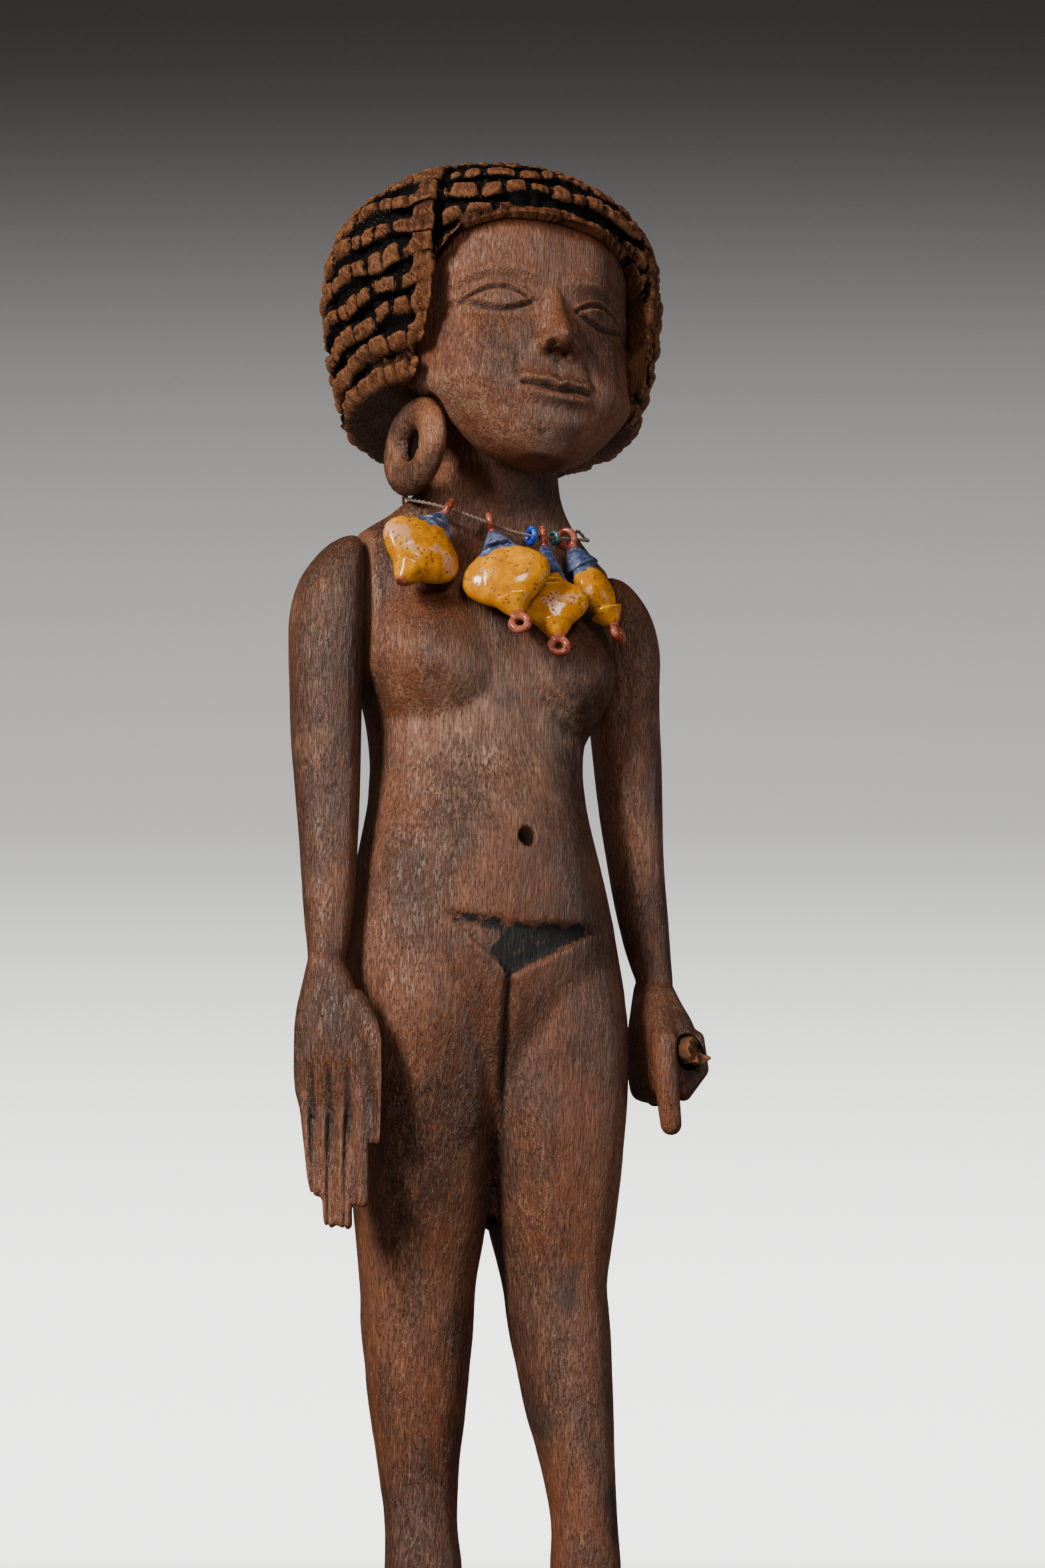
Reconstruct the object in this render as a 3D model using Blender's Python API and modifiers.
# Standing carved wooden figurine with a tiered wig, separate arms and a glass pendant necklace.
# Metres, +Z up. The figure faces -Y and its right side is at -X.
# The origin is the centre of the plinth's underside.
import math

import bmesh
import bpy
from mathutils import Matrix, Vector
from mathutils.bvhtree import BVHTree

# Driving sizes, in metres
FIGURE_HEIGHT = 0.250
PLINTH_WIDTH = 0.060
PLINTH_DEPTH = 0.084
PLINTH_HEIGHT = 0.018
PLINTH_EDGE = 0.0012
FIT_GAP = 0.0003
PENDANT_WIDTH = 0.0140
PENDANT_HEIGHT = 0.0124
PENDANT_THICKNESS = 0.0060
PENDANT_NECK = 0.0034
# Pendant outline from top to bottom: share of the height, share of the half width
PENDANT_PROFILE = (
    (0.0, 0.26), (0.12, 0.56), (0.27, 0.88), (0.43, 1.0),
    (0.60, 0.94), (0.76, 0.68), (0.89, 0.38), (1.0, 0.2),
)
LOOP_RADIUS = 0.00150
LOOP_WIRE = 0.00062
THREAD_RADIUS = 0.00036
BEAD_RADIUS = 0.00175
TEAL_SCALE = 0.75
ROD_RADIUS = 0.0028
EAR_RING_HEIGHT = 0.0176
EAR_RING_WIRE = 0.0030
EAR_RING_FLATNESS = 0.70
NAVEL_RADIUS = 0.00165
NAVEL_DEPTH = 0.0045

# The carving is laid out on a grid of 250 units to the figure's height, sole to crown.
GRID = 250.0
UNIT = FIGURE_HEIGHT / GRID
SOLE_LEVEL = PLINTH_HEIGHT + FIT_GAP
SETBACK = 10.0 * UNIT

# Body sections in grid units: level, shift x, shift y, half width, front depth, back depth
TORSO = (
    (69, -0.2, 2.8, 2.0, 2.5, 4.0),
    (79, -0.3, 2.4, 8.0, 7.6, 9.0),
    (90, -0.4, 2.0, 15.0, 11.0, 13.0),
    (96, -0.4, 2.4, 22.0, 13.5, 16.0),
    (101, -0.5, 2.7, 24.4, 15.2, 17.0),
    (107, -0.6, 3.0, 24.7, 16.4, 17.2),
    (113, -0.7, 3.2, 24.1, 17.0, 16.5),
    (120, -0.8, 3.5, 22.8, 17.6, 15.0),
    (128, -1.0, 4.0, 21.0, 17.9, 13.0),
    (136, -1.1, 4.3, 19.5, 16.4, 11.8),
    (144, -1.2, 4.6, 19.2, 14.8, 11.5),
    (152, -1.1, 4.6, 20.6, 14.3, 12.3),
    (160, -0.9, 4.6, 24.0, 14.0, 13.0),
    (168, -0.8, 4.6, 27.0, 13.2, 13.0),
    (175, -0.8, 4.5, 27.6, 12.0, 12.2),
    (180, -0.8, 4.2, 26.0, 10.4, 10.8),
    (183, -0.7, 3.8, 22.4, 9.6, 10.2),
    (187, -0.5, 2.8, 17.4, 9.4, 10.0),
    (191, -0.3, 1.4, 13.6, 9.8, 10.2),
    (196, 0.0, 0.4, 11.7, 10.2, 10.6),
    (203, 0.0, -0.6, 11.3, 10.4, 11.0),
    (212, 0.0, -1.0, 11.4, 10.4, 11.4),
)
# Leg sections: level, half width, front depth, back depth
LEG = (
    (8, 5.0, 6.5, 6.0),
    (14, 5.4, 6.6, 6.6),
    (21, 5.2, 5.9, 6.2),
    (29, 5.8, 6.8, 7.4),
    (37, 6.8, 8.0, 9.4),
    (49, 8.1, 9.6, 10.2),
    (57, 8.5, 10.2, 10.0),
    (66, 9.7, 11.2, 11.0),
    (79, 11.1, 12.4, 12.8),
    (90, 12.1, 13.4, 15.0),
    (101, 12.8, 14.2, 16.0),
    (112, 12.6, 13.0, 14.0),
)
# Leg centre lines: level, x outwards, y of the right leg, y of the left leg
STANCE = (
    (8, 11.2, 0.2, -10.6),
    (14, 11.2, 0.2, -10.6),
    (21, 11.2, 1.3, -10.3),
    (29, 11.0, 2.9, -8.6),
    (37, 10.8, 3.9, -6.5),
    (49, 10.6, 5.2, -3.4),
    (57, 10.5, 5.6, -1.6),
    (66, 10.3, 5.4, -0.6),
    (79, 10.6, 4.6, 0.0),
    (90, 10.9, 3.6, 1.2),
    (101, 11.3, 3.0, 2.2),
    (112, 11.0, 3.2, 3.2),
)
# Breadth of the right and left leg below the thigh, against the sections
LEG_SHARE = {-1: 1.09, 1: 0.96}
LEG_SHARE_LEVELS = (50.0, 75.0)
THIGH_SQUARENESS = 2.7
HIP_LEVELS = (92.0, 106.0)
MIDLINE_SHIFT = -2.7
MIDLINE_LEVELS = (66.0, 106.0)
# Foot sections from heel to toes: y from the ankle, half width, height
FOOT = (
    (8.6, 3.0, 6.0),
    (6.4, 5.0, 9.5),
    (0.0, 5.9, 14.0),
    (-7.0, 6.2, 11.8),
    (-14.0, 6.9, 8.6),
    (-20.0, 7.3, 6.4),
    (-25.0, 6.8, 5.0),
)
# Toes from the big one outwards: x from the foot's middle towards the other foot, tip y, radius
TOES = ((4.7, -30.0, 2.3), (1.4, -29.0, 1.7), (-1.5, -27.8, 1.6), (-4.1, -26.2, 1.5), (-6.3, -24.2, 1.4))
# Head sections: level, shift y, half width, front depth, back depth
HEAD = (
    (190.6, -19.0, 4.2, 4.0, 3.5),
    (192.5, -17.0, 8.0, 6.8, 5.0),
    (195.5, -15.5, 11.8, 9.2, 5.5),
    (199.0, -15.0, 15.0, 10.5, 5.4),
    (203.0, -15.0, 17.9, 10.8, 5.2),
    (208.0, -6.0, 19.9, 19.4, 16.0),
    (215.0, -3.0, 20.5, 22.2, 18.0),
    (223.0, -2.5, 20.7, 23.2, 20.0),
    (230.0, -2.0, 20.5, 24.2, 20.0),
    (235.0, -1.5, 18.0, 22.0, 19.0),
    (240.0, -1.0, 12.0, 14.0, 14.0),
)
HEAD_SQUARENESS = 2.5
# Arm sections: level, x outwards, y, half width, half depth
ARM = (
    (181.0, 24.6, 4.2, 1.4, 2.8),
    (179.8, 25.4, 4.2, 2.7, 5.0),
    (177.2, 26.4, 4.2, 4.1, 6.8),
    (173.0, 27.5, 4.2, 5.5, 8.0),
    (167.0, 28.2, 4.2, 6.2, 8.6),
    (160.0, 28.2, 4.2, 6.2, 8.2),
    (150.0, 28.4, 4.0, 6.0, 7.4),
    (138.0, 28.4, 3.6, 5.5, 6.4),
    (128.0, 28.5, 2.4, 4.9, 5.5),
    (118.0, 28.8, 0.6, 4.4, 4.9),
    (111.0, 29.3, -0.8, 3.7, 4.0),
    (107.0, 29.8, -1.6, 3.1, 3.4),
)
# Open hand sections: level, x outwards, y, half width, half thickness
PALM = (
    (107.0, 29.8, -1.6, 3.1, 3.2),
    (103.5, 29.7, -2.2, 4.3, 3.0),
    (98.0, 29.5, -3.0, 6.0, 2.9),
    (92.0, 29.3, -3.5, 6.5, 2.7),
    (86.0, 29.1, -3.8, 6.4, 2.0),
    (81.0, 29.0, -4.1, 5.0, 0.8),
)
PALM_TURN = math.radians(-40)
# Fingers from index to little: knuckle offset, tip offset, tip level, radius
FINGERS = (
    (4.6, 4.0, 67.5, 1.45),
    (1.55, 1.35, 64.0, 1.5),
    (-1.55, -1.3, 64.4, 1.45),
    (-4.6, -3.9, 69.3, 1.35),
)
KNUCKLE = (29.1, -3.9, 86.0)
FINGER_TIP = (28.6, -6.0)
THUMB = ((3.6, 100.0, 2.0), (7.4, 92.5, 2.3), (8.8, 85.5, 2.1), (8.7, 78.5, 1.9))
# Fist sections: level, x outwards, y, half width, half depth
FIST = (
    (107.0, 29.4, -1.6, 3.1, 3.4),
    (103.5, 29.5, -2.4, 4.0, 4.8),
    (99.5, 29.7, -3.4, 4.9, 6.8),
    (95.0, 29.9, -3.7, 5.3, 7.5),
    (91.0, 29.9, -3.6, 5.1, 7.2),
    (88.0, 29.7, -3.4, 4.3, 6.0),
    (86.8, 29.7, -3.4, 2.6, 3.8),
)
# Fist's straight digit: x outwards, y, level, radius
STRAIGHT_DIGIT = (
    (28.6, -6.0, 102.0, 2.2),
    (26.9, -10.0, 96.0, 2.4),
    (26.9, -10.6, 88.0, 2.1),
    (27.6, -10.4, 82.4, 1.9),
)
# Folded finger on the fist's outer face: x outwards, level, radius; the four stand side by side along Y
FOLDED_FINGER = ((33.6, 97.0, 1.7), (34.2, 92.0, 1.8), (31.0, 88.0, 1.7))
FOLDED_FIRST = -8.6
FOLDED_PITCH = 3.3
ROD_PLACE = (31.0, -15.2, 94.5)
ROD_BACK = 7.0
SHOULDER_PLANE = 22.6
SHOULDER_LEVELS = (153.0, 190.0)
SHOULDER_SHIFT = -0.8
ARM_SHIFT_LEVELS = (130.0, 160.0)
CUT_WIDTH = 20.0
CUT_DEPTH = 70.0

# Carved relief on the face and body, in grid units
EYE_X = 9.6
EYE_LEVEL = 217.0
MOUTH_LEVEL = 201.4
# Nose: ridge stations (x, y, level, radius) and a wing
NOSE = ((0.0, -24.0, 220.0, 1.6), (0.0, -25.4, 214.8, 1.8), (0.0, -27.4, 210.3, 2.2))
NOSE_WING = (2.5, -26.2, 209.3, 1.5)
BREAST = (14.6, 157.0)
BREAST_REACH = 4.4
BREAST_WIDTH = 11.0
BREAST_ABOVE = 13.5
BREAST_BELOW = 9.0
BREAST_ASIDE = 0.4
SEAT = (10.0, 6.8, 100.0, 12.8, 12.6, 18.0)
PUBIC_CORNER = (12.8, 113.2)
PUBIC_APEX = 104.8
PUBIC_TOP_SHIFT = 0.7
PUBIC_DEPTH = 0.7
GROOVE_DEPTH = 2.2
GROOVE_WIDTH = 1.2
GROOVE_START = (78.0, 90.0)
GROOVE_LEVELS = (78.0, 107.0)
NAVEL_LEVEL = 127.6

# Wig, in grid units
WIG_TOP = 250.0
WIG_WAIST = 228.6
WIG_RIM = 205.0
WIG_RADIUS = 31.2
WIG_RIM_RADIUS = 26.6
WIG_CENTRE = (0.0, 1.4)
WIG_ROUNDNESS = 2.5
WIG_TIERS = 12
WIG_LOCKS = 40
LOCK_RELIEF = 1.6
LOCK_GROOVE = 1.4
CROWN_RADIUS = 5.0
FACE_OPENING = (
    (-20.9, 200.0), (-20.9, 210.0), (-20.5, 219.0), (-19.4, 225.5), (-16.4, 229.6), (-9.0, 231.8),
    (0.0, 232.4),
    (9.0, 231.8), (16.4, 229.6), (19.4, 225.5), (20.5, 219.0), (20.9, 210.0), (20.9, 200.0),
)
OPENING_BACK = -9.0
PARTING_ANGLE = math.radians(42)
PARTING_DEPTH = 2.0

# Ear ring, necklace and pendants
EAR_RING_PLACE = (-17.4, -5.6)
EAR_RING_TURN = math.radians(10)
THREAD_POINTS = 48
THREAD_HIGH = 189.4
THREAD_DROP = 7.6
THREAD_TILT = 1.0
# Pendants, back one first: name, angle on the thread, roll, turn from the thread, size, neck length,
# narrowness, and whether the lower loop is kept
PENDANTS = (
    ("pendant_3", 28.0, 8.0, -24.0, 0.88, 2.0, 1.0, True),
    ("pendant_4", 49.0, -16.0, 36.0, 0.94, 1.1, 0.76, True),
    ("pendant_1", -55.0, 28.0, 18.0, 1.04, 0.9, 1.0, False),
    ("pendant_2", -25.0, -8.0, -22.0, 1.08, 1.0, 1.0, True),
)
# Ways a pendant settles, in degrees: swing away from the skin, change of turn, change of roll
SWINGS = range(0, 60, 2)
TURN_CHANGES = (0, -8, 8, -16, 16, -24, 24)
ROLL_CHANGES = (0, -4, 4, -8, 8)
TURN_COST = 0.35
ROLL_COST = 0.5
BEAD_BLUE_ANGLE = 16.0
BEAD_TEAL_ANGLE = 38.0

# Fineness of the solids
RING_POINTS = 28
BODY_VOXEL = 0.00085
ARM_VOXEL = 0.00055
SMOOTH_ROUNDS = 3
BODY_FACES = 2740
ARM_FACES = 560
PENDANT_FACES = 270
PENDANT_POINTS = 20
PENDANT_SWELL = 0.7


def place(x, y, z):
    """World point of a grid point; y is measured from the body's axis and z from the soles."""
    return Vector((x * UNIT, y * UNIT + SETBACK, z * UNIT + SOLE_LEVEL))


def grid(point):
    """Grid point of a world point."""
    return point.x / UNIT, (point.y - SETBACK) / UNIT, (point.z - SOLE_LEVEL) / UNIT


def clear_scene():
    for old in list(bpy.data.objects):
        bpy.data.objects.remove(old, do_unlink=True)


def new_collection(name):
    collection = bpy.data.collections.new(name)
    bpy.context.scene.collection.children.link(collection)
    return collection


def material(name, colour, roughness):
    surface = bpy.data.materials.new(name)
    surface.use_nodes = True
    shader = surface.node_tree.nodes["Principled BSDF"]
    shader.inputs["Base Color"].default_value = (*colour, 1.0)
    shader.inputs["Roughness"].default_value = roughness
    shader.inputs["Metallic"].default_value = 0.0
    surface.diffuse_color = (*colour, 1.0)
    return surface


def object_from(bm, name, collection):
    """Turn a bmesh into an object of the collection."""
    bmesh.ops.recalc_face_normals(bm, faces=bm.faces)
    mesh = bpy.data.meshes.new(name)
    bm.to_mesh(mesh)
    bm.free()
    thing = bpy.data.objects.new(name, mesh)
    collection.objects.link(thing)
    return thing


def applied(thing):
    """Replace an object's mesh by its evaluated one and drop the modifiers."""
    bpy.context.view_layer.update()
    graph = bpy.context.evaluated_depsgraph_get()
    mesh = bpy.data.meshes.new_from_object(thing.evaluated_get(graph))
    thing.modifiers.clear()
    thing.data = mesh
    return thing


def add_ring_loft(bm, rings):
    """Bridge rings of equal length into one closed shell."""
    loops = [[bm.verts.new(point) for point in ring] for ring in rings]
    count = len(loops[0])
    for lower, upper in zip(loops, loops[1:]):
        for i in range(count):
            j = (i + 1) % count
            bm.faces.new((lower[i], lower[j], upper[j], upper[i]))
    bm.faces.new(list(reversed(loops[0])))
    bm.faces.new(loops[-1])


def level_ring(z, x, y, half_width, front, back, turn=0.0, squareness=2.0):
    """Horizontal section; front is towards -Y, and turn is about the vertical."""
    power = 2.0 / squareness
    points = []
    for i in range(RING_POINTS):
        angle = 2 * math.pi * i / RING_POINTS
        across = half_width * math.copysign(abs(math.cos(angle)) ** power, math.cos(angle))
        reach = back if math.sin(angle) > 0 else front
        along = reach * math.copysign(abs(math.sin(angle)) ** power, math.sin(angle))
        px = x + across * math.cos(turn) - along * math.sin(turn)
        py = y + across * math.sin(turn) + along * math.cos(turn)
        points.append(place(px, py, z))
    return points


def add_ball(bm, centre, radii):
    """Ellipsoid at a grid point."""
    scale = Matrix.Diagonal((radii[0] * UNIT, radii[1] * UNIT, radii[2] * UNIT, 1.0))
    matrix = Matrix.Translation(place(*centre)) @ scale
    bmesh.ops.create_uvsphere(bm, u_segments=20, v_segments=14, radius=1.0, matrix=matrix)


def add_limb(bm, stations):
    """Chain of balls through grid stations (x, y, z, radius), joined by short cones."""
    for (ax, ay, az, ar), (bx, by, bz, br) in zip(stations, stations[1:]):
        start = place(ax, ay, az)
        end = place(bx, by, bz)
        axis = end - start
        turn = axis.to_track_quat("Z", "Y").to_matrix().to_4x4()
        middle = Matrix.Translation((start + end) / 2)
        bmesh.ops.create_cone(bm, cap_ends=True, segments=16, radius1=ar * UNIT, radius2=br * UNIT,
                              depth=axis.length, matrix=middle @ turn)
    for x, y, z, radius in stations:
        add_ball(bm, (x, y, z), (radius, radius, radius))


def bump(distance, width):
    """Smooth hill of height one."""
    return math.exp(-(distance / width) ** 2)


def step(value, low, high):
    """Smooth step from 0 at low to 1 at high."""
    share = min(1.0, max(0.0, (value - low) / (high - low)))
    return share * share * (3 - 2 * share)


def fused(bm, name, collection, voxel):
    """Melt overlapping shells into one smooth skin."""
    thing = object_from(bm, name, collection)
    remesh = thing.modifiers.new("melt", "REMESH")
    remesh.mode = "VOXEL"
    remesh.voxel_size = voxel * FIGURE_HEIGHT / 0.250
    smooth = thing.modifiers.new("smooth", "SMOOTH")
    smooth.iterations = SMOOTH_ROUNDS
    return applied(thing)


def thinned(thing, faces):
    """Reduce an object to about the given number of triangles."""
    total = sum(len(face.vertices) - 2 for face in thing.data.polygons)
    decimate = thing.modifiers.new("thin", "DECIMATE")
    decimate.ratio = min(1.0, faces / total)
    return applied(thing)


def trimmed(thing, point, normal):
    """Cut an object flat by a plane and drop what the normal points to."""
    bm = bmesh.new()
    bm.from_mesh(thing.data)
    geometry = bm.verts[:] + bm.edges[:] + bm.faces[:]
    cut = bmesh.ops.bisect_plane(bm, geom=geometry, dist=1e-7, plane_co=point, plane_no=normal,
                                 clear_outer=True)
    edges = [item for item in cut["geom_cut"] if isinstance(item, bmesh.types.BMEdge)]
    bmesh.ops.holes_fill(bm, edges=edges, sides=0)
    bmesh.ops.remove_doubles(bm, verts=bm.verts, dist=1e-6)
    bmesh.ops.recalc_face_normals(bm, faces=bm.faces)
    bm.to_mesh(thing.data)
    bm.free()
    return thing


def face_relief(x, z):
    """How far the face's features stand forward of the plain head."""
    side = abs(x)
    rise = 0.0
    brow = EYE_LEVEL + 5.2 - 0.035 * (side - 8.0) ** 2
    rise += 0.8 * bump(z - brow, 1.3) * step(side, 1.0, 4.0) * (1 - step(side, 16.0, 19.0))
    rise -= 1.5 * bump(side - EYE_X, 5.2) * bump(z - EYE_LEVEL, 2.9)
    half_lid = 2.0 * max(0.0, 1 - ((side - EYE_X) / 4.9) ** 2)
    if half_lid > 0:
        rise += 1.25 * (1 - step(abs(z - EYE_LEVEL), half_lid * 0.7, half_lid + 0.4))
    lips = max(0.0, 1 - (x / 6.8) ** 2)
    rise += 1.3 * lips * bump(z - MOUTH_LEVEL - 1.6, 1.1)
    rise += 1.4 * lips * bump(z - MOUTH_LEVEL + 1.7, 1.2)
    rise -= 0.9 * step(lips, 0.0, 0.3) * bump(z - MOUTH_LEVEL, 0.55)
    rise += 0.9 * bump(x, 4.6) * bump(z - 195.4, 2.6)
    rise += 0.6 * bump(side - 12.5, 4.0) * bump(z - 208.0, 5.0)
    return rise


def breast_relief(x, z):
    """Soft mounds on the chest, fuller below."""
    aside, level = BREAST
    across = (abs(x + 0.6) - aside) / BREAST_WIDTH
    along = (z - level) / (BREAST_ABOVE if z > level else BREAST_BELOW)
    return BREAST_REACH * max(0.0, 1 - across * across - along * along) ** 1.3


def midline(z):
    """Where the line between the thighs runs; it leans to the figure's right above."""
    return MIDLINE_SHIFT * step(z, *MIDLINE_LEVELS)


def leg_ring(side, column, row, stance):
    """Leg section; the inner side follows the line between the thighs."""
    z, half_width, front, back = row
    breadth = 1 + (LEG_SHARE[side] - 1) * (1 - step(z, *LEG_SHARE_LEVELS))
    square = 2.0 + (THIGH_SQUARENESS - 2.0) * step(z, *LEG_SHARE_LEVELS) * (1 - step(z, *HIP_LEVELS))
    lean = midline(z) / 2
    return level_ring(z, side * stance[1] + lean, stance[column], half_width * breadth - side * lean,
                      front, back, 0.0, square)


def thigh_groove(x, z):
    """Line between the thighs, up to the triangle's apex."""
    inside = step(z, *GROOVE_START) * (1 - step(z, PUBIC_APEX - 2.0, PUBIC_APEX + 0.5))
    return -GROOVE_DEPTH * bump(x - midline(z), GROOVE_WIDTH) * inside


def body_relief(x, z):
    """How far the sunk triangle below the belly lies behind the skin."""
    corner_x, corner_z = PUBIC_CORNER
    top = corner_z + 0.8 - 0.8 * bump(x, 8.0)
    rise = max(0.0, (z - PUBIC_APEX) / (corner_z - PUBIC_APEX))
    middle = MIDLINE_SHIFT + (PUBIC_TOP_SHIFT - MIDLINE_SHIFT) * rise
    inside = step(corner_x * rise - abs(x - middle), -0.6, 0.6) * (1 - step(z, top - 0.5, top + 0.7))
    if z < PUBIC_APEX - 0.5:
        return 0.0
    return -PUBIC_DEPTH * inside


def carve(thing):
    """Move the front of the head and belly by the relief."""
    for vertex, normal in zip(thing.data.vertices, [n.vector.copy() for n in thing.data.vertex_normals]):
        x, y, z = grid(vertex.co)
        facing = step(-normal.y, 0.15, 0.55)
        if 188 < z < 232 and y < -14:
            vertex.co.y -= face_relief(x, z) * UNIT * facing
        elif 140 < z < 174 and y < 4:
            rise = breast_relief(x, z) * UNIT * step(-normal.y, -0.1, 0.5)
            vertex.co.y -= rise
            vertex.co.x += math.copysign(BREAST_ASIDE * rise, x)
        elif 104 < z < 116 and y < -4:
            vertex.co.y -= (body_relief(x, z) + thigh_groove(x, z)) * UNIT * facing
        elif GROOVE_LEVELS[0] < z < GROOVE_LEVELS[1] and y < -4:
            vertex.co.y -= thigh_groove(x, z) * UNIT


def build_body(collection):
    """Torso, neck, head, legs and feet as one skin."""
    bm = bmesh.new()
    add_ring_loft(bm, [level_ring(z, x, y, w, f, b) for z, x, y, w, f, b in TORSO])
    add_ring_loft(bm, [level_ring(z, 0.0, y, w, f, b, 0.0, HEAD_SQUARENESS) for z, y, w, f, b in HEAD])
    add_limb(bm, NOSE)
    for side, column in ((-1, 2), (1, 3)):
        add_ring_loft(bm, [leg_ring(side, column, row, stance) for row, stance in zip(LEG, STANCE)])
        add_foot(bm, side * STANCE[0][1], STANCE[0][column], side)
        sx, sy, sz, px, py, pz = SEAT
        add_ball(bm, (side * sx, sy, sz), (px, py, pz))
        wing_x, wing_y, wing_z, wing_radius = NOSE_WING
        add_ball(bm, (side * wing_x, wing_y, wing_z), (wing_radius, wing_radius * 1.3, wing_radius))
    body = fused(bm, "figure", collection, BODY_VOXEL)
    carve(body)
    body = thinned(body, BODY_FACES)
    trimmed(body, place(0, 0, 0), Vector((0, 0, -1)))
    for side in (-1, 1):
        edge = side * SHOULDER_PLANE + SHOULDER_SHIFT
        cut_above(body, edge, side)
    return body


def cut_above(body, edge, side):
    """Cut the shoulder flat where the arm sits."""
    low, high = SHOULDER_LEVELS
    bm = bmesh.new()
    centre = place(edge + side * CUT_WIDTH / 2, 0.0, (low + high) / 2)
    size = Matrix.Diagonal((CUT_WIDTH * UNIT, CUT_DEPTH * UNIT, (high - low) * UNIT, 1.0))
    bmesh.ops.create_cube(bm, size=1.0, matrix=Matrix.Translation(centre) @ size)
    cut_by(body, bm, "shoulder_cut")


def cut_by(thing, bm, name):
    """Subtract a closed cutter from an object and keep the cutter as a guide."""
    cutter = object_from(bm, name, CUTTERS)
    cutter.hide_render = True
    cutter.display_type = "WIRE"
    boolean = thing.modifiers.new(name, "BOOLEAN")
    boolean.operation = "DIFFERENCE"
    boolean.object = cutter
    applied(thing)


def add_foot(bm, x, y, side):
    """Foot with five toes; the sole is trimmed flat later."""
    rings = []
    for along, half_width, height in FOOT:
        ring = []
        for i in range(RING_POINTS):
            angle = 2 * math.pi * i / RING_POINTS
            px = x + half_width * math.cos(angle)
            pz = height * 0.25 + height * 0.75 * math.sin(angle)
            ring.append(place(px, y + along, pz))
        rings.append(ring)
    add_ring_loft(bm, rings)
    for inward, tip, radius in TOES:
        px = x - side * inward
        add_limb(bm, ((px, y - 20.0, radius + 0.4, radius), (px, y + tip + radius, radius * 0.8, radius)))


def wig_profile(samples=200):
    """Points (radius, level) from crown to rim, with the length along the curve."""
    points = []
    for i in range(samples + 1):
        share = i / samples
        if share < 0.62:
            angle = share / 0.62 * math.pi / 2
            radius = WIG_RADIUS * math.sin(angle) ** (2 / WIG_ROUNDNESS)
            level = WIG_WAIST + (WIG_TOP - WIG_WAIST) * math.cos(angle) ** (2 / WIG_ROUNDNESS)
        else:
            down = (share - 0.62) / 0.38
            radius = WIG_RADIUS - (WIG_RADIUS - WIG_RIM_RADIUS) * down ** 2
            level = WIG_WAIST - (WIG_WAIST - WIG_RIM) * down
        points.append((radius, level))
    points = [p for p in points if p[0] >= CROWN_RADIUS]
    lengths = [0.0]
    for (r0, z0), (r1, z1) in zip(points, points[1:]):
        lengths.append(lengths[-1] + math.hypot(r1 - r0, z1 - z0))
    return points, lengths


def along_profile(points, lengths, share):
    """Point on the wig's profile at a share of its length."""
    wanted = share * lengths[-1]
    for i in range(1, len(points)):
        if lengths[i] >= wanted:
            part = (wanted - lengths[i - 1]) / (lengths[i] - lengths[i - 1])
            r0, z0 = points[i - 1]
            r1, z1 = points[i]
            return r0 + (r1 - r0) * part, z0 + (z1 - z0) * part
    return points[-1]


def lock_depth(angle, column, tier, row):
    """How deep a point of the wig lies: upper ends of locks, gaps between them, and the partings."""
    pitch = math.pi / WIG_LOCKS
    from_front = abs((angle + math.pi) % (2 * math.pi) - math.pi)
    beside = (from_front - PARTING_ANGLE) / pitch
    if abs(beside) < 0.5:
        return PARTING_DEPTH
    if 0.5 <= beside < 1.5:
        return 0.0
    sunk = LOCK_RELIEF if row == 0 and tier > 0 else 0.0
    gap = LOCK_GROOVE if column % 2 else 0.0
    return sunk + gap * (1.0 if row else 0.5)


def build_wig(collection):
    """Dome of stepped locks with a flat underside and an opening for the face."""
    points, lengths = wig_profile()
    rings = []
    columns = 2 * WIG_LOCKS
    for tier in range(WIG_TIERS):
        for row, part in enumerate((0.06, 0.90)):
            radius, level = along_profile(points, lengths, (tier + part) / WIG_TIERS)
            ring = []
            for i in range(columns):
                angle = 2 * math.pi * i / columns
                r = radius - lock_depth(angle, i, tier, row)
                x = WIG_CENTRE[0] + r * math.sin(angle)
                y = WIG_CENTRE[1] - r * math.cos(angle)
                ring.append(place(x, y, level))
            rings.append(ring)
    bm = bmesh.new()
    add_ring_loft(bm, rings)
    wig = object_from(bm, "wig_shape", collection)
    cut_by(wig, face_opening(), "face_opening")
    return wig


def face_opening():
    """Prism through the wig's front, with the outline of the face."""
    bm = bmesh.new()
    front = [place(x, -60.0, z) for x, z in FACE_OPENING]
    back = [place(x, OPENING_BACK, z) for x, z in FACE_OPENING]
    add_ring_loft(bm, [front, back])
    return bm


def join_to(thing, other, name):
    """Union of two objects; the second one is removed."""
    boolean = thing.modifiers.new(name, "BOOLEAN")
    boolean.operation = "UNION"
    boolean.object = other
    applied(thing)
    bpy.data.objects.remove(other, do_unlink=True)


def cut_navel(figure):
    """Drilled hole in the belly."""
    tree = BVHTree.FromObject(figure, bpy.context.evaluated_depsgraph_get())
    start = place(0.0, -60.0, NAVEL_LEVEL)
    skin, _, _, _ = tree.ray_cast(start, Vector((0, 1, 0)))
    bm = bmesh.new()
    length = 2 * NAVEL_DEPTH
    turn = Matrix.Rotation(math.pi / 2, 4, "X")
    bmesh.ops.create_cone(bm, cap_ends=True, segments=14, radius1=NAVEL_RADIUS, radius2=NAVEL_RADIUS,
                          depth=length, matrix=Matrix.Translation(skin) @ turn)
    cut_by(figure, bm, "navel")


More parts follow.
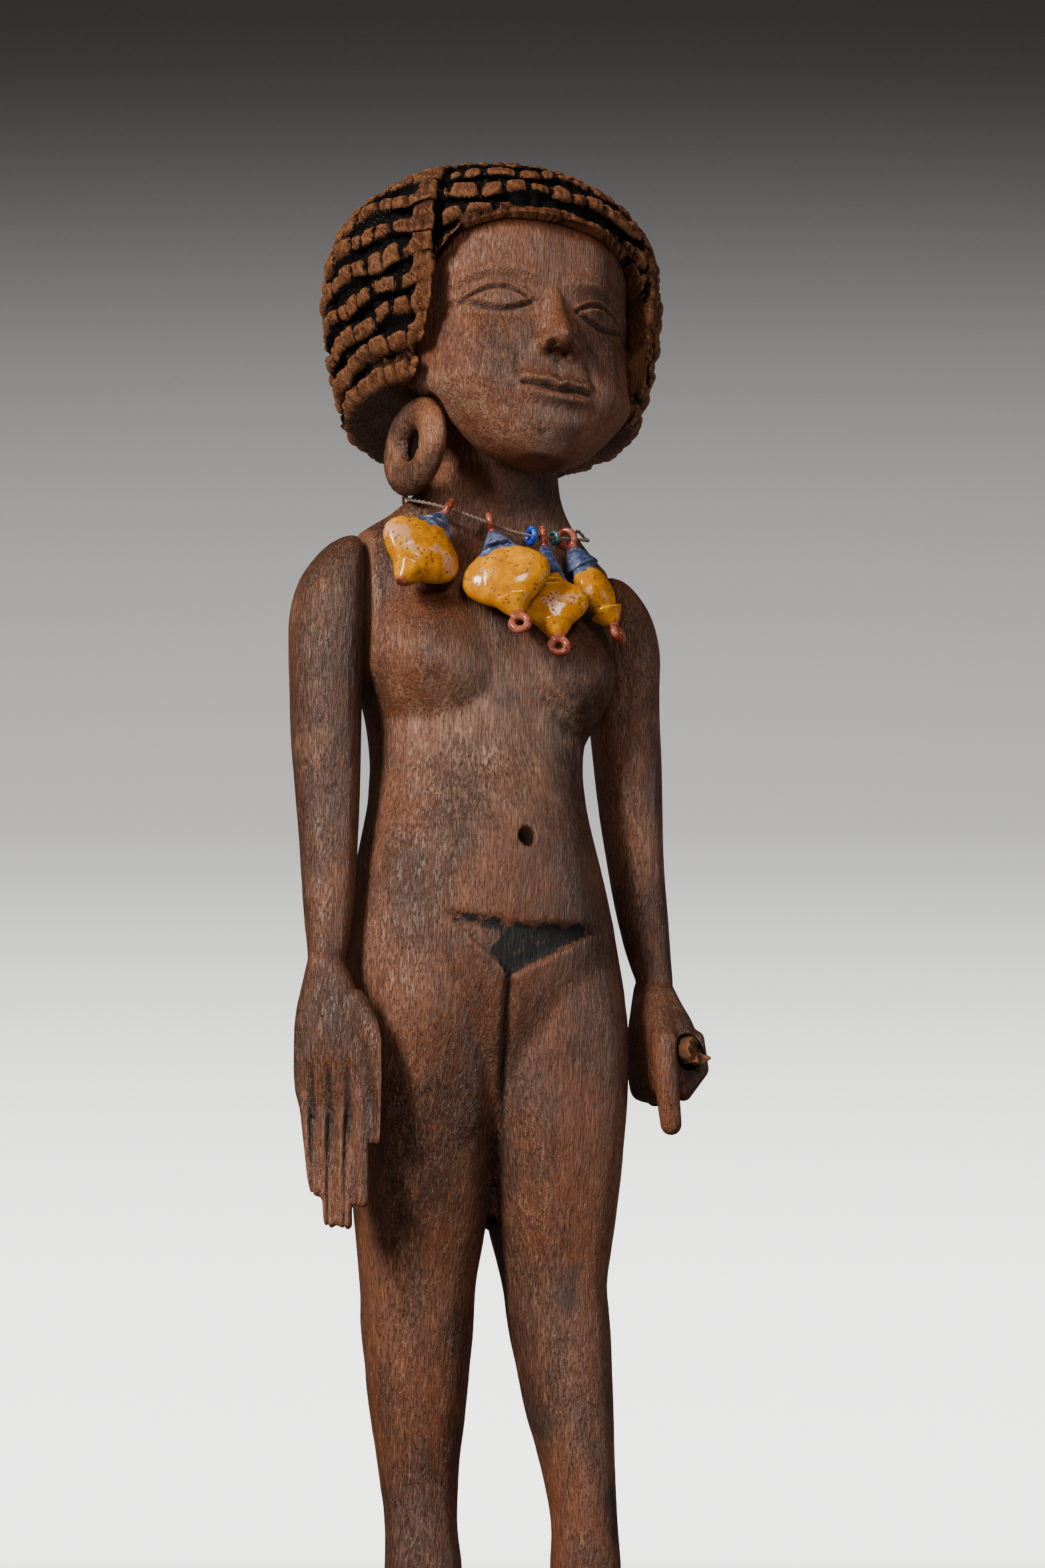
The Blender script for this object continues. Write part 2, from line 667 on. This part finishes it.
def build_arm(name, side, collection):
    """Upper arm and forearm with an open hand on the right and a fist on the left."""
    bm = bmesh.new()
    rings = []
    for z, x, y, w, d in ARM:
        shift = SHOULDER_SHIFT * step(z, *ARM_SHIFT_LEVELS)
        rings.append(level_ring(z, side * x + shift, y, w, d, d))
    add_ring_loft(bm, rings)
    if side < 0:
        add_open_hand(bm, side)
    else:
        add_fist(bm, side)
    arm = fused(bm, name, collection, ARM_VOXEL)
    arm = thinned(arm, ARM_FACES)
    edge = side * (SHOULDER_PLANE * UNIT + FIT_GAP) + SHOULDER_SHIFT * UNIT
    trimmed(arm, Vector((edge, 0, 0)), Vector((-side, 0, 0)))
    return arm


def add_open_hand(bm, side):
    """Flat hand hanging straight down, its back turned forwards and outwards."""
    add_ring_loft(bm, [level_ring(z, side * x, y, w, t, t, PALM_TURN) for z, x, y, w, t in PALM])
    across = Vector((math.cos(PALM_TURN), math.sin(PALM_TURN)))
    for knuckle, tip, level, radius in FINGERS:
        kx, ky, kz = KNUCKLE
        start = (side * kx + across.x * knuckle, ky + across.y * knuckle, kz, radius)
        tx, ty = FINGER_TIP
        end = (side * tx + across.x * tip, ty + across.y * tip, level + radius * 0.8, radius * 0.8)
        add_limb(bm, (start, end))
    stations = []
    for offset, level, radius in THUMB:
        kx, ky, kz = KNUCKLE
        stations.append((side * kx + across.x * offset, ky + across.y * offset, level, radius))
    add_limb(bm, stations)


def add_fist(bm, side):
    """Closed hand with one straight digit and finger ridges on its outer face."""
    add_ring_loft(bm, [level_ring(z, side * x, y, w, d, d, 0.0, 2.4) for z, x, y, w, d in FIST])
    add_limb(bm, STRAIGHT_DIGIT)
    for i in range(4):
        y = FOLDED_FIRST + FOLDED_PITCH * i
        add_limb(bm, [(x, y, z, radius) for x, z, radius in FOLDED_FINGER])


def bore_fist(arm):
    """Hole through the fist for the rod."""
    bm = rod_shape(ROD_RADIUS + FIT_GAP, 30.0)
    cut_by(arm, bm, "rod_bore")


def rod_shape(radius, extra):
    """Cylinder along Y through the fist; extra lengthens both ends, in grid units."""
    x, front, z = ROD_PLACE
    bm = bmesh.new()
    length = (ROD_BACK - front + 2 * extra) * UNIT
    middle = place(x, (ROD_BACK + front) / 2, z)
    turn = Matrix.Rotation(math.pi / 2, 4, "X")
    bmesh.ops.create_cone(bm, cap_ends=True, segments=16, radius1=radius, radius2=radius, depth=length,
                          matrix=Matrix.Translation(middle) @ turn)
    return bm


def build_rod(collection):
    """Broken rod; its front end is split into two steps."""
    rod = object_from(rod_shape(ROD_RADIUS, 0.0), "held_stub", collection)
    x, front, z = ROD_PLACE
    bm = bmesh.new()
    notch = place(x + 2.2, front, z + 2.4)
    size = Matrix.Diagonal((3.6 * UNIT, 4.0 * UNIT, 4.4 * UNIT, 1.0))
    turn = Matrix.Rotation(math.radians(24), 4, "Y")
    bmesh.ops.create_cube(bm, size=1.0, matrix=Matrix.Translation(notch) @ turn @ size)
    cut_by(rod, bm, "break")
    return rod


def build_ear_ring(collection, ceiling, thread):
    """Thick ring hanging just below the wig's underside, held out by the thread."""
    wire = EAR_RING_WIRE
    major = EAR_RING_HEIGHT / 2 - wire
    bm = bmesh.new()
    around = 18
    tube = 8
    loops = []
    for i in range(around):
        angle = 2 * math.pi * i / around
        ring = []
        for j in range(tube):
            turn = 2 * math.pi * j / tube
            out = major + wire * math.cos(turn)
            ring.append(bm.verts.new((EAR_RING_FLATNESS * wire * math.sin(turn), out * math.cos(angle),
                                      out * math.sin(angle))))
        loops.append(ring)
    for i in range(around):
        for j in range(tube):
            a, b = loops[i], loops[(i + 1) % around]
            k = (j + 1) % tube
            bm.faces.new((a[j], a[k], b[k], b[j]))
    x, y = EAR_RING_PLACE
    centre = place(x, y, 0.0)
    centre.z = ceiling - FIT_GAP - EAR_RING_HEIGHT / 2
    bm.transform(Matrix.Rotation(EAR_RING_TURN, 4, "Z"))
    ring = object_from(bm, "ear_ring", collection)
    ring.location = centre
    bpy.context.view_layer.update()
    string = swollen(thread, FIT_GAP)
    while swollen(ring, 0.0).overlap(string):
        ring.location.x -= FIT_GAP
        bpy.context.view_layer.update()
    return ring


def thread_route(figure):
    """Closed route round the neck, laid on the skin and held off it in front by the beads."""
    tree = BVHTree.FromObject(figure, bpy.context.evaluated_depsgraph_get())
    loop_reach = LOOP_RADIUS + LOOP_WIRE + 2 * FIT_GAP
    reaches = []
    levels = []
    for i in range(THREAD_POINTS):
        angle = 2 * math.pi * i / THREAD_POINTS
        front = max(0.0, math.cos(angle))
        level = THREAD_HIGH - THREAD_DROP * front ** 0.6 - THREAD_TILT * math.sin(angle)
        outward = Vector((math.sin(angle), -math.cos(angle), 0))
        centre = place(0, 1.0, level)
        skin, _, _, _ = tree.ray_cast(centre + outward * 60 * UNIT, -outward)
        standoff = THREAD_RADIUS + 2 * FIT_GAP
        standoff += (loop_reach - standoff) * step(front, 0.1, 0.5)
        reach = (skin - centre).length
        while tree.find_nearest(centre + outward * reach)[3] < standoff:
            reach += FIT_GAP
        reaches.append(reach)
        levels.append(level)
    route = []
    for i in range(THREAD_POINTS):
        angle = 2 * math.pi * i / THREAD_POINTS
        near = [reaches[(i + k) % THREAD_POINTS] for k in range(-3, 4)]
        outward = Vector((math.sin(angle), -math.cos(angle), 0))
        route.append(place(0, 1.0, levels[i]) + outward * max(near[3], sum(near) / len(near)))
    return route


def thread_at(route, degrees):
    """Point and direction on the route at an angle from straight ahead, towards +X."""
    count = len(route)
    place_on = (degrees / 360.0) % 1.0 * count
    first = int(place_on) % count
    second = (first + 1) % count
    point = route[first].lerp(route[second], place_on - int(place_on))
    return point, (route[second] - route[first]).normalized()


def build_thread(route, collection):
    """Closed tube along the route."""
    bm = bmesh.new()
    sides = 5
    count = len(route)
    loops = []
    for i, point in enumerate(route):
        forward = (route[(i + 1) % count] - route[i - 1]).normalized()
        out = Vector((0, 0, 1)).cross(forward).normalized()
        up = forward.cross(out)
        ring = []
        for j in range(sides):
            angle = 2 * math.pi * j / sides
            ring.append(bm.verts.new(point + (out * math.cos(angle) + up * math.sin(angle)) * THREAD_RADIUS))
        loops.append(ring)
    for i in range(count):
        lower, upper = loops[i], loops[(i + 1) % count]
        for j in range(sides):
            k = (j + 1) % sides
            bm.faces.new((lower[j], lower[k], upper[k], upper[j]))
    return object_from(bm, "necklace_thread", collection)


def add_ring(bm, centre, radius, wire, matrix, around=12, tube=6):
    """Small glass loop with its hole along the matrix's Z axis."""
    loops = []
    for i in range(around):
        angle = 2 * math.pi * i / around
        ring = []
        for j in range(tube):
            turn = 2 * math.pi * j / tube
            out = radius + wire * math.cos(turn)
            local = Vector((out * math.cos(angle), out * math.sin(angle), wire * math.sin(turn)))
            ring.append(bm.verts.new(centre + matrix @ local))
        loops.append(ring)
    for i in range(around):
        for j in range(tube):
            a, b = loops[i], loops[(i + 1) % around]
            k = (j + 1) % tube
            bm.faces.new((a[j], a[k], b[k], b[j]))


def pendant_ring(share, breadth, width, height, drop, size):
    """Flattened section of a pendant at a share of its height."""
    half = width / 2 * breadth
    thick = PENDANT_THICKNESS * size / 2 * breadth ** PENDANT_SWELL
    ring = []
    for i in range(PENDANT_POINTS):
        angle = 2 * math.pi * i / PENDANT_POINTS
        ring.append(Vector((half * math.cos(angle), thick * math.sin(angle), -drop - height * share)))
    return ring


def pendant_shape(name, size, neck_share, narrowness, lower_loop, collection):
    """Glass pendant with its top loop's centre at the origin, hanging along -Z."""
    width = PENDANT_WIDTH * size * narrowness
    height = PENDANT_HEIGHT * size
    neck = PENDANT_NECK * neck_share
    drop = LOOP_RADIUS + neck
    body = bmesh.new()
    add_ring_loft(body, [pendant_ring(share, breadth, width, height, drop, size)
                         for share, breadth in PENDANT_PROFILE])
    top = Matrix.Translation((0, 0, -LOOP_RADIUS - neck * 0.65))
    bmesh.ops.create_cone(body, cap_ends=True, segments=10, radius1=PENDANT_NECK * 0.95,
                          radius2=LOOP_WIRE * 1.3, depth=neck * 1.3, matrix=top)
    bottom = -drop - height
    low = Matrix.Translation((0, 0, bottom + PENDANT_NECK * 0.1))
    bmesh.ops.create_cone(body, cap_ends=True, segments=10, radius1=LOOP_WIRE * 1.6,
                          radius2=PENDANT_NECK * 0.9, depth=PENDANT_NECK * 0.9, matrix=low)
    add_ring(body, Vector((0, 0, 0)), LOOP_RADIUS, LOOP_WIRE, Matrix.Rotation(math.pi / 2, 3, "Y"))
    if lower_loop:
        place_low = Vector((0, 0, bottom - PENDANT_NECK * 0.35 - LOOP_RADIUS * 0.9))
        add_ring(body, place_low, LOOP_RADIUS * 0.9, LOOP_WIRE * 1.15, Matrix.Rotation(math.pi / 2, 3, "X"))
    pendant = object_from(body, name, collection)
    return union_of_parts(pendant)


def union_of_parts(thing):
    """Melt a small piece's overlapping shells and thin the result."""
    remesh = thing.modifiers.new("melt", "REMESH")
    remesh.mode = "VOXEL"
    remesh.voxel_size = LOOP_WIRE * 0.42
    applied(thing)
    return thinned(thing, PENDANT_FACES)


def swollen(thing, margin):
    """BVH of an object's mesh grown outwards by a margin."""
    mesh = thing.data
    matrix = thing.matrix_world
    turn = matrix.to_3x3()
    normals = [n.vector for n in mesh.vertex_normals]
    points = [matrix @ v.co + (turn @ n) * margin for v, n in zip(mesh.vertices, normals)]
    return BVHTree.FromPolygons(points, [tuple(p.vertices) for p in mesh.polygons])


def settlings():
    """Ways to settle a pendant, the least change first."""
    ways = []
    for swing in SWINGS:
        for turn in TURN_CHANGES:
            for roll in ROLL_CHANGES:
                cost = swing + TURN_COST * abs(turn) + ROLL_COST * abs(roll)
                ways.append((cost, swing, turn, roll))
    return sorted(ways)


def hang(pendant, point, along, roll, turn, others):
    """Hang a pendant at a point, settled so that it clears what lies behind and beside it."""
    obstacles = [swollen(other, 0.0) for other in others]
    heading = math.atan2(along.y, along.x) + math.radians(turn)
    for _, swing, turn_change, roll_change in settlings():
        spin = Matrix.Rotation(heading + math.radians(turn_change), 4, "Z")
        lean = Matrix.Rotation(math.radians(roll + roll_change), 4, "Y")
        tilt = Matrix.Rotation(math.radians(-swing), 4, along)
        pendant.matrix_world = Matrix.Translation(point) @ tilt @ spin @ lean
        bpy.context.view_layer.update()
        grown = swollen(pendant, 1.5 * FIT_GAP)
        if not any(grown.overlap(tree) for tree in obstacles):
            return


def build_bead(name, route, degrees, radius, collection):
    """Small ring bead strung on the thread."""
    point, direction = thread_at(route, degrees)
    bm = bmesh.new()
    wire = (radius - THREAD_RADIUS - FIT_GAP) / 2
    turn = direction.to_track_quat("Z", "Y").to_matrix()
    add_ring(bm, point, radius - wire, wire, turn, 10, 6)
    return object_from(bm, name, collection)


def build_plinth(collection):
    bm = bmesh.new()
    size = Matrix.Diagonal((PLINTH_WIDTH, PLINTH_DEPTH, PLINTH_HEIGHT, 1.0))
    bmesh.ops.create_cube(bm, size=1.0, matrix=Matrix.Translation((0, 0, PLINTH_HEIGHT / 2)) @ size)
    plinth = object_from(bm, "plinth", collection)
    bevel = plinth.modifiers.new("edge", "BEVEL")
    bevel.width = PLINTH_EDGE
    bevel.segments = 2
    return plinth


def shade(thing, surface, angle=40):
    thing.data.materials.clear()
    thing.data.materials.append(surface)
    thing.data.shade_smooth()
    thing.data.set_sharp_from_angle(angle=math.radians(angle))


clear_scene()
PARTS = new_collection("wooden_figurine")
CUTTERS = new_collection("cutters")

wood = material("carved_wood", (0.23, 0.095, 0.045), 0.5)
glass = material("yellow_glass", (0.85, 0.55, 0.03), 0.2)
cobalt = material("cobalt_glass", (0.02, 0.05, 0.35), 0.15)
teal = material("teal_glass", (0.03, 0.22, 0.25), 0.2)
fibre = material("fibre", (0.42, 0.33, 0.22), 0.9)

figure = build_body(PARTS)
join_to(figure, build_wig(PARTS), "wig")
cut_navel(figure)
arm_right = build_arm("arm_right", -1, PARTS)
arm_left = build_arm("arm_left", 1, PARTS)
bore_fist(arm_left)
rod = build_rod(PARTS)
route = thread_route(figure)
thread = build_thread(route, PARTS)
ear_ring = build_ear_ring(PARTS, place(0, 0, WIG_RIM).z, thread)
hung = [figure, ear_ring]
for name, degrees, roll, turn, size, neck, narrowness, lower_loop in PENDANTS:
    pendant = pendant_shape(name, size, neck, narrowness, lower_loop, PARTS)
    point, along = thread_at(route, degrees)
    hang(pendant, point, along, roll, turn, hung)
    hung.append(pendant)
    shade(pendant, glass, 60)
bead_blue = build_bead("bead_blue", route, BEAD_BLUE_ANGLE, BEAD_RADIUS, PARTS)
bead_teal = build_bead("bead_teal", route, BEAD_TEAL_ANGLE, BEAD_RADIUS * TEAL_SCALE, PARTS)
plinth = build_plinth(PARTS)
for thing in (figure, arm_right, arm_left, rod, ear_ring, plinth):
    shade(thing, wood)
shade(thread, fibre, 80)
shade(bead_blue, cobalt, 80)
shade(bead_teal, teal, 80)
